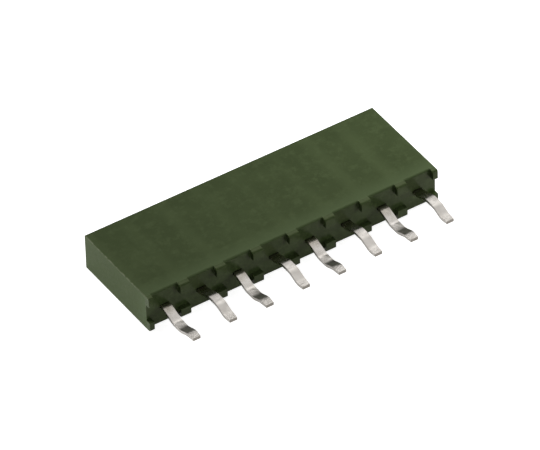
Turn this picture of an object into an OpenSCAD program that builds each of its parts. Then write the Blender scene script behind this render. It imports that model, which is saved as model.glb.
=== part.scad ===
// Female pin header strip: a moulded housing that lies on its wide side, and one row of
// stamped contacts whose flat solder tails are kinked to alternate sides.
// X runs along the row, -Y points out of the board face, where the tails are, and Z is the
// thickness. The origin is the centre of the wide face that the strip lies on. Millimetres.

/* [Row] */
// Number of contacts in the row
positions = 8; // [2:2:20]
// Distance from one contact to the next
pitch = 2.54; // [2.3:0.01:4]

/* [Housing] */
// Thickness of the housing between its two wide faces
body_t = 2.5; // [2.3:0.05:4]
// Height from the mating face to the faces of the feet
body_h = 7; // [6.4:0.1:12]
// Bevel along the two edges of the mating face
mating_bevel = 0.03; // [0.02:0.01:0.1]
// Rounding of the long edges on the board side, and of the feet
board_round = 0.13; // [0.03:0.01:0.2]
// Wall between a cavity and the board face
board_wall = 0.75; // [0.4:0.05:1.2]

/* [Feet] */
// How far the feet stand out of the board face
foot_out = 0.33; // [0.15:0.01:0.8]
// Width of a foot along the row, halved at the two ends
foot_w = 0.69; // [0.4:0.01:0.9]
// Height of a foot, measured in from the wide face that it is flush with
foot_t = 0.65; // [0.3:0.01:0.75]

/* [Cavities] */
// Width and height of the square cavity that holds a contact
cavity = 1.7; // [1.6:0.01:1.75]
// Width of the lead-in round the mouth of a cavity
lead_in = 0.16; // [0.05:0.01:0.2]
// Depth of the lead-in
lead_in_d = 0.3; // [0.1:0.01:0.6]
// Clearance round a tail in its slot
slot_gap = 0.03; // [0.02:0.01:0.2]

/* [Contact] */
// Thickness of the metal
metal = 0.2; // [0.12:0.01:0.25]
// Clearance between the folded channel and the side walls of the cavity
channel_gap = 0.1; // [0.04:0.01:0.15]
// Clearance between the retention shoulders and the side walls of the cavity
shoulder_gap = 0; // [0:0.005:0.03]
// Inner radius of the folds
fold_r = 0.1; // [0.05:0.01:0.15]
// Length of the folded channel
channel_l = 1.3; // [0.8:0.05:1.6]
// Height of the channel, over its base
channel_t = 1.25; // [0.9:0.01:1.35]
// How far the ends of the channel walls are cut back
wall_cut = 0.3; // [0.1:0.01:0.5]
// Length of a shoulder behind the channel
shoulder_l = 0.55; // [0.4:0.01:0.7]
// Length of the slope at each end of a shoulder
barb_l = 0.12; // [0.05:0.01:0.18]
// Distance over which the strip steps up to the middle of the cavity
jog_l = 0.6; // [0.5:0.01:0.9]
// Distance from the end of that step to the end of the cavity
jog_clear = 0.12; // [0.05:0.01:0.2]

/* [Leaf springs] */
// Distance of the spring tips from the mating face
tip_depth = 0.55; // [0.35:0.01:0.9]
// Distance of the narrowest point from the mating face
pinch_depth = 1.5; // [1.2:0.01:1.9]
// Free gap between the springs at the narrowest point
pinch_gap = 0.44; // [0.3:0.01:0.55]
// Gap between the flared tips
mouth_gap = 0.95; // [0.7:0.01:1.1]
// Height of a spring at its root and at its tip
spring_root_t = 0.95; // [0.7:0.01:1]
spring_tip_t = 0.6; // [0.4:0.01:0.7]

/* [Solder tail] */
// Width of the tail
tail_w = 0.6; // [0.4:0.01:0.7]
// Length of the tail beyond the feet
tail_out = 3.15; // [2.9:0.05:5]
// Width at the end of the tail
tail_end_w = 0.5; // [0.3:0.01:0.6]
// Length of the taper at the end of the tail
taper_l = 0.45; // [0.1:0.01:0.6]
// How far the kink bows out of the middle plane
bow = 0.37; // [0.1:0.01:0.6]
// Distance from the board face to the start of the kink
bow_start = 0.28; // [0.26:0.01:0.4]
// Lengths of the rise, the flat top and the fall of the kink
bow_rise = 1.05; // [0.8:0.01:1.4]
bow_flat = 0.8; // [0.6:0.01:0.9]
bow_fall = 0.75; // [0.7:0.01:0.8]
// What is left of the bow at the end of the tail
end_off = 0.07; // [0:0.01:0.1]

/* [Hidden] */

plastic = [0.26, 0.31, 0.20];
tin = [0.80, 0.79, 0.75];

// A fold, bend or rounding gets one facet for each of these degrees
bend_step = 6;
round_step = 22.5;
// How far a cutter runs past the face that it opens
past = 0.5;

row_l = positions * pitch;
middle_z = body_t / 2;
mating_y = body_h / 2;
foot_y = -body_h / 2;
board_y = foot_y + foot_out;

// Along a contact, x counts from the mating face towards the tail
board_x = body_h - foot_out;
cavity_end = board_x - board_wall;
jog_end = cavity_end - jog_clear;
jog_start = jog_end - jog_l;
channel_end = jog_start - shoulder_l;
channel_start = channel_end - channel_l;
tail_end = body_h + tail_out;

// The base of the channel lies on the wall of the cavity
base_z = -(cavity - metal) / 2;
channel_w = cavity - 2 * channel_gap;
shoulder_w = cavity - 2 * shoulder_gap;
side_y = (channel_w - metal) / 2;
fold_mid_r = fold_r + metal / 2;

// The bends of the tail are looser than the folds
kink_r = 1;
jog_r = 0.25;
spring_r = 0.6;

// Sheet metal: the outline of a strip that follows a centre line.
// A path is a list of corners [x, y, radius], and each inner corner becomes an arc.
// The arc is drawn at a distance to the left of the path, with one facet for each step.
function corner(path, i) = [path[i][0], path[i][1]];
function heading(path, i) = (corner(path, i + 1) - corner(path, i))
    / norm(corner(path, i + 1) - corner(path, i));
function left_of(d) = [-d.y, d.x];
function turned(v, a) = [v.x * cos(a) - v.y * sin(a), v.x * sin(a) + v.y * cos(a)];
function turn_between(a, b) = atan2(a.x * b.y - a.y * b.x, a * b);
function bend(path, i, shift, step = bend_step) =
    let (
        way_in = heading(path, i - 1),
        turn = turn_between(way_in, heading(path, i)),
        side = turn < 0 ? -1 : 1,
        radius = path[i][2],
        facets = ceil(abs(turn) / step),
        centre = corner(path, i) - way_in * radius * tan(abs(turn) / 2)
            + left_of(way_in) * radius * side
    )
    [for (k = [0:facets])
        centre - turned(left_of(way_in), turn * k / max(facets, 1)) * (radius * side - shift)];
function edge_line(path, shift) =
    let (last = len(path) - 1)
    concat(
        [corner(path, 0) + left_of(heading(path, 0)) * shift],
        [for (i = [1:last - 1]) each bend(path, i, shift)],
        [corner(path, last) + left_of(heading(path, last - 1)) * shift]
    );
function backwards(points) = [for (i = [len(points) - 1:-1:0]) points[i]];
function strip(path) = concat(
    edge_line(path, metal / 2),
    backwards(edge_line(path, -metal / 2))
);

// A closed outline, in which the corners that have a radius are rounded
function rounded(corners) =
    let (path = concat([corners[len(corners) - 1]], corners, [corners[0]]))
    [
        for (i = [1:len(corners)])
            each (len(path[i]) > 2 ? bend(path, i, 0, round_step) : [path[i]])
    ];

// A flat shape seen from the side, in X and Z, made solid across Y
module side_view(width) {
    rotate([90, 0, 0]) linear_extrude(height = width, center = true) children();
}

// A flat shape seen from the end, in Y and Z, made solid along X
module end_view(length) {
    rotate([90, 0, 90]) linear_extrude(height = length, center = true) children();
}

// The housing without its cavities and feet, as it is seen from the end of the row
module body_profile() {
    b = mating_bevel;
    polygon(rounded([
        [board_y, 0, board_round], [mating_y - b, 0], [mating_y, b], [mating_y, body_t - b],
        [mating_y - b, body_t], [board_y, body_t, board_round]
    ]));
}

// One foot at the lower wide face, as it is seen from the end of the row
module foot_profile() {
    inside_y = board_y + past;
    polygon(rounded([
        [foot_y, 0, board_round], [inside_y, 0], [inside_y, foot_t], [foot_y, foot_t]
    ]));
}

// A lower and an upper foot at one boundary between two contacts
module foot_pair() {
    end_view(foot_w) {
        foot_profile();
        translate([0, body_t]) mirror([0, 1]) foot_profile();
    }
}

// The feet stand at every boundary, and the ends of the row cut the last ones in half
module feet() {
    intersection() {
        for (i = [0:positions])
            translate([i * pitch - row_l / 2, 0, 0]) foot_pair();
        translate([-row_l / 2, -body_h, -past]) cube([row_l, 2 * body_h, body_t + 2 * past]);
    }
}

// A square hole that widens towards the mating face, as two crossed wedges
module lead_in_cut() {
    wide = cavity / 2 + lead_in;
    narrow = cavity / 2;
    out = lead_in / lead_in_d * past;
    outline = [
        [-past, -wide - out], [lead_in_d, -narrow], [lead_in_d, narrow], [-past, wide + out]
    ];
    intersection() {
        side_view(2 * cavity) polygon(outline);
        linear_extrude(height = 2 * cavity, center = true) polygon(outline);
    }
}

// The cavity of one contact, in the contact's own directions
module cavity_cut() {
    side_view(cavity)
        polygon([
            [-past, -cavity / 2], [cavity_end, -cavity / 2],
            [cavity_end, cavity / 2], [-past, cavity / 2]
        ]);
    lead_in_cut();
}

// The slot that lets a tail out through the board face
module slot_cut() {
    slot_w = tail_w + 2 * slot_gap;
    slot_t = metal + 2 * slot_gap;
    translate([cavity_end - past, -slot_w / 2, -slot_t / 2])
        cube([board_wall + 2 * past, slot_w, slot_t]);
}

// Puts a contact's own directions into the row: place i counts from 1 at the -X end
module at_place(i) {
    translate([(i - 0.5) * pitch - row_l / 2, mating_y, middle_z]) rotate([0, 0, -90]) children();
}

module housing() {
    color(plastic) difference() {
        union() {
            end_view(row_l) body_profile();
            feet();
        }
        for (i = [1:positions])
            at_place(i) {
                cavity_cut();
                slot_cut();
            }
    }
}

// The channel: a base with a wall folded up on each side, cut back at the ends of the walls
module channel() {
    wall_top = base_z - metal / 2 + channel_t;
    fold = [
        [-side_y, wall_top], [-side_y, base_z, fold_mid_r], [side_y, base_z, fold_mid_r],
        [side_y, wall_top]
    ];
    low = base_z - metal;
    intersection() {
        translate([(channel_start + channel_end) / 2, 0, 0])
            end_view(channel_l) polygon(strip(fold));
        side_view(2 * cavity)
            polygon([
                [channel_start, low], [channel_end, low], [channel_end, base_z + wall_cut],
                [channel_end - wall_cut, wall_top], [channel_start, wall_top]
            ]);
    }
}

// One spring, from the channel wall to its flared tip; side is 1 or -1
module spring(side) {
    pinch_y = (pinch_gap + metal) / 2;
    mouth_y = (mouth_gap + metal) / 2;
    root_x = channel_start + metal;
    wall_top = base_z - metal / 2 + channel_t;
    line = [
        [root_x, side * side_y], [channel_start - metal, side * side_y, spring_r],
        [pinch_depth, side * pinch_y, spring_r], [tip_depth, side * mouth_y]
    ];
    root_low = wall_top - spring_root_t;
    tip_low = -spring_tip_t / 2;
    intersection() {
        linear_extrude(height = 2 * cavity, center = true) polygon(strip(line));
        side_view(2 * cavity)
            polygon([
                [root_x, root_low], [root_x, wall_top], [channel_start, wall_top],
                [tip_depth - metal, spring_tip_t / 2], [tip_depth - metal, tip_low],
                [channel_start, root_low]
            ]);
    }
}

// The base strip: shoulders, the step up to the middle of the cavity, and the kinked tail
module base_strip() {
    rise_x = board_x + bow_start;
    top_x = rise_x + bow_rise;
    fall_x = top_x + bow_flat;
    low_x = fall_x + bow_fall;
    line = [
        [channel_end - metal, base_z],
        [jog_start, base_z, jog_r], [jog_end, 0, jog_r],
        [rise_x, 0, kink_r], [top_x, bow, kink_r],
        [fall_x, bow, kink_r], [low_x, end_off, kink_r],
        [tail_end, end_off]
    ];
    half = [
        [channel_end - metal, channel_w / 2 - fold_mid_r], [channel_end, channel_w / 2 - fold_mid_r],
        [channel_end + barb_l, shoulder_w / 2], [jog_start - barb_l, shoulder_w / 2],
        [jog_start, tail_w / 2], [tail_end - taper_l, tail_w / 2], [tail_end, tail_end_w / 2]
    ];
    blank = concat(half, [for (p = backwards(half)) [p.x, -p.y]]);
    intersection() {
        side_view(2 * cavity) polygon(strip(line));
        linear_extrude(height = 4 * cavity, center = true) polygon(blank);
    }
}

// A whole contact; every second one is turned half round its own length
module contact(i) {
    color(tin) at_place(i) rotate([i % 2 * 180, 0, 0]) {
        channel();
        spring(1);
        spring(-1);
        base_strip();
    }
}

housing();
for (i = [1:positions])
    contact(i);
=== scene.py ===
# %% [markdown]
# # A female pin header strip, seen close up
# The part is about 20 mm long. It is a moulded olive green housing with eight stamped contacts,
# and their flat tails leave the housing on the side that goes to the circuit board.
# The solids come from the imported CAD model. This file gives them their edges, their finishes,
# a light and a camera, and it never moves or resizes a solid.

import math

import bpy
from mathutils import Matrix, Vector


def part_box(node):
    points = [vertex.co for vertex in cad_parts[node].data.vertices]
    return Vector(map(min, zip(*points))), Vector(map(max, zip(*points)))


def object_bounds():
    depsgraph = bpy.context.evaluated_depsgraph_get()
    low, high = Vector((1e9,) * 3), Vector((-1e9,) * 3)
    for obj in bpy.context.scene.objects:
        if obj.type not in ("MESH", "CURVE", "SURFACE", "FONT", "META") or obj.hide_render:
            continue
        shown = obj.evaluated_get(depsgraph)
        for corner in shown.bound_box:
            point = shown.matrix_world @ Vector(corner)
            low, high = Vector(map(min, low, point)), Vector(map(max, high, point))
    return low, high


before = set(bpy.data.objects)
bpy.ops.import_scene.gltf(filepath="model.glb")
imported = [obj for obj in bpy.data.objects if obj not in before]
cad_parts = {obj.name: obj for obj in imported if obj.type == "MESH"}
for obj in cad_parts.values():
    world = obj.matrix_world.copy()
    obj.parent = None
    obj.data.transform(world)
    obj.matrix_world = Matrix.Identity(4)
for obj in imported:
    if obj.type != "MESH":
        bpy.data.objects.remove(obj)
cad_low, cad_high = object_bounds()
print("CAD box in mm:", [round(1000 * v, 2) for v in (*cad_low, *cad_high)])

# %% [markdown]
# ## Lengths
# Blender works in metres, and this part is small, so every length is written in millimetres
# and multiplied by `MM`. The pitch isn't typed in again: it is the length of the housing
# divided by the number of contacts, both read from the frame.

# %% Units and the row's own measures
MM = 0.001
contacts = sorted(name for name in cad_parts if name.startswith("contact_"))
housing_low, housing_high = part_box("housing")
housing_length = housing_high.x - housing_low.x
pitch = housing_length / len(contacts)
print(len(contacts), "contacts at a pitch of", round(pitch / MM, 3), "mm")

# %% [markdown]
# ## The camera
# A camera was fitted to the corners in the picture, at the size that the part is taken to
# have. The fit gives a long lens about half a metre away, so that the long edges of the strip
# hardly converge. Its place, its view direction and its right are written in the frame of the
# part, and up follows from the two. A camera in Blender looks along its own -Z, with +Y up in
# the picture, so the rotation is built from the right, up and backward directions as columns.

# %% Camera
LENS = 535.8
CAMERA_PLACE = Vector((-189.328, -304.116, 312.260)) * MM
LOOK = Vector((0.399569, 0.640089, -0.656225)).normalized()
RIGHT = Vector((0.836108, -0.547977, -0.025404)).normalized()


def make_camera():
    data = bpy.data.cameras.new("camera")
    data.lens = LENS
    data.sensor_width = 36.0
    data.clip_start = 0.01
    data.clip_end = 10.0
    camera = bpy.data.objects.new("camera", data)
    bpy.context.scene.collection.objects.link(camera)
    up = RIGHT.cross(LOOK).normalized()
    turn = Matrix((RIGHT, up, -LOOK)).transposed()
    camera.matrix_world = Matrix.Translation(CAMERA_PLACE) @ turn.to_4x4()
    return camera


bpy.context.scene.camera = make_camera()
print("camera", round(CAMERA_PLACE.length / MM), "mm from the part")

# %% [markdown]
# ## Edges
# A moulded or stamped edge is never perfectly sharp, and the thin line of light along it is
# what makes a small part look real. The solids have their large roundings already, drawn as
# a few flat facets. So two things are left to do here, and both are modifiers, which leave
# the solids as they are. The facets of a rounding or of a bend should shade as one smooth
# surface, and the edges that are still sharp get a very small bevel.
#
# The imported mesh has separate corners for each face, so a Weld modifier joins them first. A
# small node group then marks each edge as smooth or sharp by the angle between its two faces.

# %% Smooth shading by angle
SHARP = math.radians(28)


def make_smoothing():
    group = bpy.data.node_groups.new("smooth_by_angle", "GeometryNodeTree")
    group.interface.new_socket("Geometry", in_out="INPUT", socket_type="NodeSocketGeometry")
    group.interface.new_socket("Geometry", in_out="OUTPUT", socket_type="NodeSocketGeometry")
    start = group.nodes.new("NodeGroupInput")
    end = group.nodes.new("NodeGroupOutput")
    angle = group.nodes.new("GeometryNodeInputMeshEdgeAngle")
    gentle = group.nodes.new("FunctionNodeCompare")
    gentle.data_type = "FLOAT"
    gentle.operation = "LESS_THAN"
    gentle.inputs[1].default_value = SHARP
    edges = group.nodes.new("GeometryNodeSetShadeSmooth")
    edges.domain = "EDGE"
    faces = group.nodes.new("GeometryNodeSetShadeSmooth")
    faces.domain = "FACE"
    join = group.links.new
    join(angle.outputs["Unsigned Angle"], gentle.inputs[0])
    join(start.outputs[0], edges.inputs["Geometry"])
    join(gentle.outputs[0], edges.inputs["Shade Smooth"])
    join(edges.outputs[0], faces.inputs["Geometry"])
    join(faces.outputs[0], end.inputs[0])
    return group


smoothing = make_smoothing()
print("edges under", round(math.degrees(SHARP)), "degrees shade smooth")

# %% [markdown]
# ## Bevels
# The bevel works on the edges that are left sharp, and it is far smaller than the sheet is
# thick. A weighted normal comes last. On the housing it goes by area, so that the large flat
# faces decide their own shading and only the roundings bend the light. On the contacts it
# goes by corner angle, so that a small face of a bend counts as much as a long flat run.

# %% Edge modifiers
HOUSING_BEVEL_MM = 0.02
CONTACT_BEVEL_MM = 0.018
WELD_MM = 0.0005


def round_edges(obj, width_mm, weight):
    weld = obj.modifiers.new("join_corners", "WELD")
    weld.merge_threshold = WELD_MM * MM
    obj.modifiers.new("smooth_by_angle", "NODES").node_group = smoothing
    bevel = obj.modifiers.new("edge_rounding", "BEVEL")
    bevel.width = width_mm * MM
    bevel.segments = 2
    bevel.limit_method = "ANGLE"
    bevel.angle_limit = SHARP
    bevel.use_clamp_overlap = True
    normals = obj.modifiers.new("flat_faces", "WEIGHTED_NORMAL")
    normals.keep_sharp = True
    normals.mode = weight


round_edges(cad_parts["housing"], HOUSING_BEVEL_MM, "FACE_AREA")
for name in contacts:
    round_edges(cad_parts[name], CONTACT_BEVEL_MM, "CORNER_ANGLE")
print("rounded the edges of", 1 + len(contacts), "solids")

# %% [markdown]
# ## Small helpers for node materials
# A material in Blender is a graph of nodes. These helpers add one node, set its sockets and
# join it up, so that each finish below reads as a short list of steps. All the textures use
# object coordinates, which are metres on the part itself, so the grain keeps its real size.

# %% Add, place and fill a node
def new_material(name):
    material = bpy.data.materials.new(name)
    material.use_nodes = True
    tree = material.node_tree
    shader = tree.nodes["Principled BSDF"]
    return material, tree, shader


def fill(tree, socket, value):
    if isinstance(value, bpy.types.NodeSocket):
        tree.links.new(value, socket)
    else:
        socket.default_value = value


def place(tree, scale=(1, 1, 1)):
    coordinates = tree.nodes.new("ShaderNodeTexCoord")
    mapping = tree.nodes.new("ShaderNodeMapping")
    fill(tree, mapping.inputs["Vector"], coordinates.outputs["Object"])
    fill(tree, mapping.inputs["Scale"], scale)
    return mapping.outputs["Vector"]


def axis(tree, name):
    split = tree.nodes.new("ShaderNodeSeparateXYZ")
    fill(tree, split.inputs[0], place(tree))
    return split.outputs[name]


# %% [markdown]
# ## Numbers and colours as nodes
# A noise gives a number between 0 and 1 at each point. `ramp` turns a range of one number into
# a range of another, and `fade` is the ramp that ends in a mask from 0 to 1. `calculate` does
# sums, `mix_colour` blends two shades by a mask, and `bump` turns a height into a normal.

# %% Noise, ramps, sums, mixes and bumps
def noise(tree, size_mm, detail, stretch=(1, 1, 1), rough=0.5):
    node = tree.nodes.new("ShaderNodeTexNoise")
    fill(tree, node.inputs["Vector"], place(tree, stretch))
    fill(tree, node.inputs["Scale"], 1 / (size_mm * MM))
    fill(tree, node.inputs["Detail"], detail)
    fill(tree, node.inputs["Roughness"], rough)
    return node.outputs["Fac"]


def ramp(tree, factor, low, high, from_value, to_value):
    node = tree.nodes.new("ShaderNodeMapRange")
    fill(tree, node.inputs["Value"], factor)
    fill(tree, node.inputs["From Min"], low)
    fill(tree, node.inputs["From Max"], high)
    fill(tree, node.inputs["To Min"], from_value)
    fill(tree, node.inputs["To Max"], to_value)
    return node.outputs["Result"]


def fade(tree, position, start, end):
    return ramp(tree, position, start, end, 0.0, 1.0)


def calculate(tree, operation, first, second=0.0):
    node = tree.nodes.new("ShaderNodeMath")
    node.operation = operation
    fill(tree, node.inputs[0], first)
    fill(tree, node.inputs[1], second)
    return node.outputs["Value"]


def product(tree, first, second):
    return calculate(tree, "MULTIPLY", first, second)


def total(tree, first, second):
    return calculate(tree, "ADD", first, second)


def mix_colour(tree, mask, first, second):
    node = tree.nodes.new("ShaderNodeMix")
    node.data_type = "RGBA"
    mask_socket, first_socket, second_socket = 0, 6, 7
    fill(tree, node.inputs[mask_socket], mask)
    fill(tree, node.inputs[first_socket], first)
    fill(tree, node.inputs[second_socket], second)
    return node.outputs[2]


def bump(tree, height, depth_mm):
    node = tree.nodes.new("ShaderNodeBump")
    fill(tree, node.inputs["Height"], height)
    fill(tree, node.inputs["Distance"], depth_mm * MM)
    fill(tree, node.inputs["Strength"], 1.0)
    return node.outputs["Normal"]


# %% [markdown]
# ## Where a finish changes
# Some finishes change from place to place: the board side is polished, the cut ends have pale
# edges, and the tips of the tails are rough. A place is a coordinate of the part itself, so
# these are the positions that the masks start from. Masks are multiplied where both of them
# have to hold.

# %% Positions on the part
FOOT_HEIGHT = 0.33 * MM
board_plane = housing_low.y + FOOT_HEIGHT
half_length = housing_length / 2
middle_z = (housing_low.z + housing_high.z) / 2
half_thickness = housing_high.z - middle_z
tail_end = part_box(contacts[0])[0].y
print("board face at y", round(board_plane / MM, 2), "mm, tails end at", round(tail_end / MM, 2))

# %% [markdown]
# ## The plastic
# The housing is a filled polyester, moulded in a dark olive green. Up close it has a fine
# grain, a soft mottle of slightly different shades, and a paler bloom over some of the walls
# between two cavities. The wall bands are a cosine of the X position with the pitch as its
# period, and a noise that changes mostly along X says how strong each band is.
#
# The wide faces are dull, and a painted highlight makes them a little paler towards the board
# side. The board side itself is taken to be polished, so that it mirrors the tails and the feet.
# That is how the dark patches beside each tail and each foot of the picture are read here. The
# strip looks cut to length, and its ends get pale, worn edges.

# %% Masks on the housing
STRIP_WIDTH = 1.20 * MM
STRIP_FULL = 0.10 * MM
BOARD_FADE = (0.05 * MM, 0.01 * MM)
WORN_FADE = (0.09 * MM, 0.02 * MM)


def wall_bands(tree):
    turns = product(tree, axis(tree, "X"), 2 * math.pi / pitch)
    walls = fade(tree, calculate(tree, "COSINE", turns), 0.1, 1.0)
    strength = noise(tree, 4.0, 1.0, stretch=(1, 0.05, 0.05))
    return product(tree, walls, ramp(tree, strength, 0.40, 0.62, 0.05, 0.6))


def board_side(tree):
    start, end = BOARD_FADE
    return fade(tree, axis(tree, "Y"), board_plane + start, board_plane + end)


# Painted highlight: a band of the wide faces along the board-side edge is painted paler, in place
# of light on that edge.
def painted_edge_highlight(tree):
    y = axis(tree, "Y")
    inner = ramp(tree, y, board_plane + STRIP_WIDTH, board_plane + STRIP_FULL, 0.0, 0.95)
    return product(tree, inner, fade(tree, y, board_plane, board_plane + BOARD_FADE[0]))


def cut_edges(tree):
    start, end = WORN_FADE
    x = calculate(tree, "ABSOLUTE", axis(tree, "X"))
    z = calculate(tree, "ABSOLUTE", calculate(tree, "SUBTRACT", axis(tree, "Z"), middle_z))
    ends = fade(tree, x, half_length - start, half_length - end)
    edges = fade(tree, z, half_thickness - start, half_thickness - end)
    worn = ramp(tree, noise(tree, 0.3, 3.0), 0.42, 0.60, 0.10, 0.70)
    return product(tree, product(tree, ends, edges), worn)


# %% [markdown]
# ## Mixing the plastic
# The shades are mixed one after the other, from the broad clouds down to the specks, and the
# painted highlight along the board-side edge and the worn edges come last. The roughness is lower
# wherever the mask of the board side is 1. What is the same all over is set on the shader's own
# sockets.

# %% Housing plastic
OLIVE = (0.0370, 0.0565, 0.0185, 1)
OLIVE_PALE = (0.0500, 0.0730, 0.0270, 1)
OLIVE_DEEP = (0.0285, 0.0455, 0.0135, 1)
# The next shade is a painted highlight for the band along the board-side edge.
OLIVE_PAINTED_HIGHLIGHT = (0.0555, 0.0820, 0.0330, 1)
OLIVE_WORN = (0.1300, 0.1500, 0.0900, 1)
CLOUD_MM = 1.6
MOTTLE_MM = 0.45
SPECK_MM = 0.10
GRAIN_MM = 0.05
GRAIN_DEPTH_MM = 0.003
DULL = (0.46, 0.56)
POLISH = 0.32


def plastic_shade(tree, clouds, specks):
    shade = mix_colour(tree, fade(tree, clouds, 0.30, 0.70), OLIVE_DEEP, OLIVE)
    shade = mix_colour(tree, wall_bands(tree), shade, OLIVE_PALE)
    mottle = noise(tree, MOTTLE_MM, 3.0, rough=0.6)
    shade = mix_colour(tree, ramp(tree, mottle, 0.48, 0.70, 0.0, 0.70), shade, OLIVE_PALE)
    shade = mix_colour(tree, ramp(tree, specks, 0.58, 0.75, 0.0, 0.35), shade, OLIVE_PALE)
    # Painted highlight near the board-side edge.
    shade = mix_colour(tree, painted_edge_highlight(tree), shade, OLIVE_PAINTED_HIGHLIGHT)
    return mix_colour(tree, cut_edges(tree), shade, OLIVE_WORN)


def make_plastic():
    material, tree, shader = new_material("olive_polyester")
    clouds = noise(tree, CLOUD_MM, 4.0)
    specks = noise(tree, SPECK_MM, 2.0)
    fill(tree, shader.inputs["Base Color"], plastic_shade(tree, clouds, specks))
    dull = ramp(tree, specks, 0.3, 0.7, *DULL)
    polish = product(tree, board_side(tree), POLISH)
    fill(tree, shader.inputs["Roughness"], calculate(tree, "SUBTRACT", dull, polish))
    grain = total(tree, noise(tree, GRAIN_MM, 3.0), clouds)
    fill(tree, shader.inputs["Normal"], bump(tree, grain, GRAIN_DEPTH_MM))
    shader.inputs["IOR"].default_value = 1.5
    shader.inputs["Specular IOR Level"].default_value = 0.20
    shader.inputs["Specular Tint"].default_value = (1.0, 0.98, 0.62, 1)
    return material


plastic = make_plastic()
print("made", plastic.name, "with", len(plastic.node_tree.nodes), "nodes")

# %% [markdown]
# ## The tin plating
# Matt tin is a light grey metal. It is rolled as a strip before it is stamped, so its grain
# runs along the contact, which is the Y direction here: the noise is stretched that way. The
# sheet is never quite flat either, and a slow wave in the bump makes its mirror images uneven.
#
# Along a tail the finish changes with the Y position. Near the housing its colour is painted a
# darker brown, a painted shade where the tail leaves the housing. It is duller at the bend in
# the middle, pitted near the tip, and the cut end shows bare metal.

# %% Masks along a tail
def along_tail(tree, from_face_mm, to_face_mm):
    y = axis(tree, "Y")
    return fade(tree, y, board_plane - from_face_mm * MM, board_plane - to_face_mm * MM)


def before_tip(tree, start_mm, end_mm):
    return fade(tree, axis(tree, "Y"), tail_end + start_mm * MM, tail_end + end_mm * MM)


def tail_root(tree):
    return product(tree, along_tail(tree, 0.9, 0.1), along_tail(tree, -0.9, -0.3))


def tail_bend(tree):
    return product(tree, along_tail(tree, 1.7, 2.3), along_tail(tree, 3.1, 2.6))


# %% [markdown]
# ## Mixing the metal
# The wave, the grain and the pits each have a depth of their own. So their heights are worked
# out in metres and added up, and one bump node with a distance of one metre takes the total.

# %% Heights of the metal
WAVE_MM = 0.7
WAVE_DEPTH = 0.03 * MM
ROLLED_DEPTH = 0.0015 * MM
PIT_MM = 0.11
PIT_DEPTH = 0.03 * MM
METRE_MM = 1000


def tin_heights(tree, rolled):
    wave = product(tree, noise(tree, WAVE_MM, 2.0), WAVE_DEPTH)
    grain = product(tree, rolled, ROLLED_DEPTH)
    pits = product(tree, noise(tree, PIT_MM, 2.0), before_tip(tree, 0.9, 0.4))
    return total(tree, total(tree, wave, grain), product(tree, pits, PIT_DEPTH))


# %% [markdown]
# ## The metal itself
# One noise of dull patches steers the colour, the painted shade at the root and the gloss, so
# that the three change together.

# %% Contact metal
TIN = (0.585, 0.557, 0.520, 1)
TIN_DULL = (0.490, 0.462, 0.425, 1)
# The next colour is painted shade for the root of each tail.
PAINTED_ROOT_SHADE = (0.270, 0.235, 0.165, 1)
CUT_END = (0.270, 0.250, 0.220, 1)
PATCH_MM = 0.5
ROLLED_MM = 0.05
ROLLED_STRETCH = (1, 0.08, 1)
BEND_ROUGHNESS = 0.09


def tin_shade(tree, patches):
    shade = mix_colour(tree, fade(tree, patches, 0.35, 0.75), TIN, TIN_DULL)
    # Painted shade: near the housing the tail is painted a darker brown, where it lies in shade.
    root_shade_mask = product(tree, tail_root(tree), ramp(tree, patches, 0.3, 0.7, 0.45, 0.9))
    shade = mix_colour(tree, root_shade_mask, shade, PAINTED_ROOT_SHADE)
    return mix_colour(tree, before_tip(tree, 0.03, 0.015), shade, CUT_END)


def tin_roughness(tree, patches, rolled):
    plating = ramp(tree, patches, 0.3, 0.7, 0.20, 0.26)
    lines = ramp(tree, rolled, 0.3, 0.7, 0.0, 0.05)
    return total(tree, total(tree, plating, lines), product(tree, tail_bend(tree), BEND_ROUGHNESS))


def make_tin():
    material, tree, shader = new_material("matt_tin")
    patches = noise(tree, PATCH_MM, 4.0)
    rolled = noise(tree, ROLLED_MM, 2.0, stretch=ROLLED_STRETCH)
    fill(tree, shader.inputs["Base Color"], tin_shade(tree, patches))
    fill(tree, shader.inputs["Roughness"], tin_roughness(tree, patches, rolled))
    fill(tree, shader.inputs["Normal"], bump(tree, tin_heights(tree, rolled), METRE_MM))
    shader.inputs["Metallic"].default_value = 1.0
    return material


tin = make_tin()
print("made", tin.name, "with", len(tin.node_tree.nodes), "nodes")

# %% [markdown]
# ## Put the finishes on the solids
# The solids carry one material slot each, so the new material simply takes its place.

# %% Assign materials
def finish_node(name, material):
    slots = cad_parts[name].data.materials
    slots.clear()
    slots.append(material)


finish_node("housing", plastic)
for name in contacts:
    finish_node(name, tin)
print("finished", 1 + len(contacts), "solids")

# %% [markdown]
# ## Floor
# The part lies on white paper. Through the Light Path node the paper is brighter for the
# camera, and by a share of that in mirror images, so that it is white in the picture while the
# light that it sends back to the part stays plain. At this brightness the shadow of the part
# clips to white as well. A lower `PAPER_GLOW` brings the shadow back.

# %% Floor
FLOOR_SIZE = 3.0
FLOOR_GAP = 0.002 * MM
PAPER = (0.80, 0.80, 0.80, 1)
PAPER_GLOW = 0.84
MIRRORED = 0.40
WHITE = (1, 1, 1, 1)


def make_paper():
    material, tree, shader = new_material("white_paper")
    shader.inputs["Base Color"].default_value = PAPER
    shader.inputs["Roughness"].default_value = 0.9
    shader.inputs["Emission Color"].default_value = WHITE
    rays = tree.nodes.new("ShaderNodeLightPath")
    mirrored = product(tree, rays.outputs["Is Glossy Ray"], MIRRORED)
    seen = calculate(tree, "MAXIMUM", rays.outputs["Is Camera Ray"], mirrored)
    fill(tree, shader.inputs["Emission Strength"], product(tree, seen, PAPER_GLOW))
    return material


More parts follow.
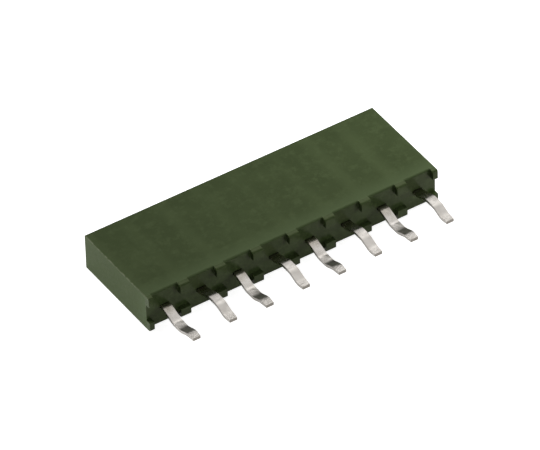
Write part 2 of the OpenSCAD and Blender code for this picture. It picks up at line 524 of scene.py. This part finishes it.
def make_floor():
    mesh = bpy.data.meshes.new("floor")
    half = FLOOR_SIZE / 2
    corners = [(-half, -half, 0), (half, -half, 0), (half, half, 0), (-half, half, 0)]
    mesh.from_pydata(corners, [], [(0, 1, 2, 3)])
    mesh.materials.append(make_paper())
    floor = bpy.data.objects.new("floor", mesh)
    floor.location.z = cad_low.z - FLOOR_GAP
    bpy.context.scene.collection.objects.link(floor)


make_floor()
print("floor at", round((cad_low.z - FLOOR_GAP) / MM, 3), "mm")

# %% [markdown]
# ## The room
# The world is white for the camera. It lights the part evenly at a low level, and mirror
# images show a dim room, because the dark patches in the picture are read as mirror images of
# dark things around the part.

# %% World
FILL = 0.14
ROOM = 0.2


def make_world():
    world = bpy.data.worlds.new("room")
    bpy.context.scene.world = world
    world.use_nodes = True
    tree = world.node_tree
    background = tree.nodes["Background"]
    background.inputs["Color"].default_value = WHITE
    rays = tree.nodes.new("ShaderNodeLightPath")
    room = product(tree, rays.outputs["Is Glossy Ray"], ROOM)
    seen = calculate(tree, "MAXIMUM", rays.outputs["Is Camera Ray"], room)
    fill(tree, background.inputs["Strength"], calculate(tree, "MAXIMUM", seen, FILL))


make_world()
print("even light", FILL, "and mirrored room", ROOM)

# %% [markdown]
# ## Lamps
# In the picture the end of the strip is the brightest side, the wide face is next and the
# board face is the darkest. So the main lamp is far away at the left, behind the strip. A broad
# lamp close above, to the right, lights the wide face, and the runs of the tails that slope
# down, away from the housing, mirror it. A weak one behind the strip is what their flat runs
# mirror. One at the right lights the board face, and one close to the right end makes the wide
# face grow brighter towards it. Real lamps would show in the metal. Mirror images leave these
# two out here, so that they keep showing the dim room.
#
# A lamp's level is set on a plain scale: at 1, a white card that faces it from far away renders
# white. Each row gives the name, the direction, the distance and the size in millimetres, the
# level, and whether mirror images show it.

# %% Area lamps
LAMPS = (
    ("left_lamp", (-0.62, 0.735, 0.27), 1500, 750, 1.19, True),
    ("overhead_lamp", (0.62, 0.02, 0.78), 60, 76, 0.40, True),
    ("back_lamp", (0.40, 0.64, 0.66), 600, 500, 0.14, True),
    ("right_lamp", (0.70, -0.70, 0.12), 500, 200, 0.34, False),
    ("corner_lamp", (0.80, 0.10, 0.60), 35, 12, 0.36, False),
)


def soft_lamp(name, towards, distance_mm, size_mm, level, mirrored):
    distance = distance_mm * MM
    data = bpy.data.lights.new(name, "AREA")
    data.shape = "SQUARE"
    data.size = size_mm * MM
    data.energy = level * (math.pi * distance) ** 2
    lamp = bpy.data.objects.new(name, data)
    lamp.location = Vector(towards).normalized() * distance
    lamp.rotation_euler = (-lamp.location).to_track_quat("-Z", "Y").to_euler()
    lamp.visible_camera = False
    lamp.visible_glossy = mirrored
    bpy.context.scene.collection.objects.link(lamp)


for lamp_row in LAMPS:
    soft_lamp(*lamp_row)
print("placed", len(LAMPS), "lamps")

# %% [markdown]
# ## Colour
# The Standard view keeps colours as they are written.

# %% View
bpy.context.scene.view_settings.view_transform = "Standard"
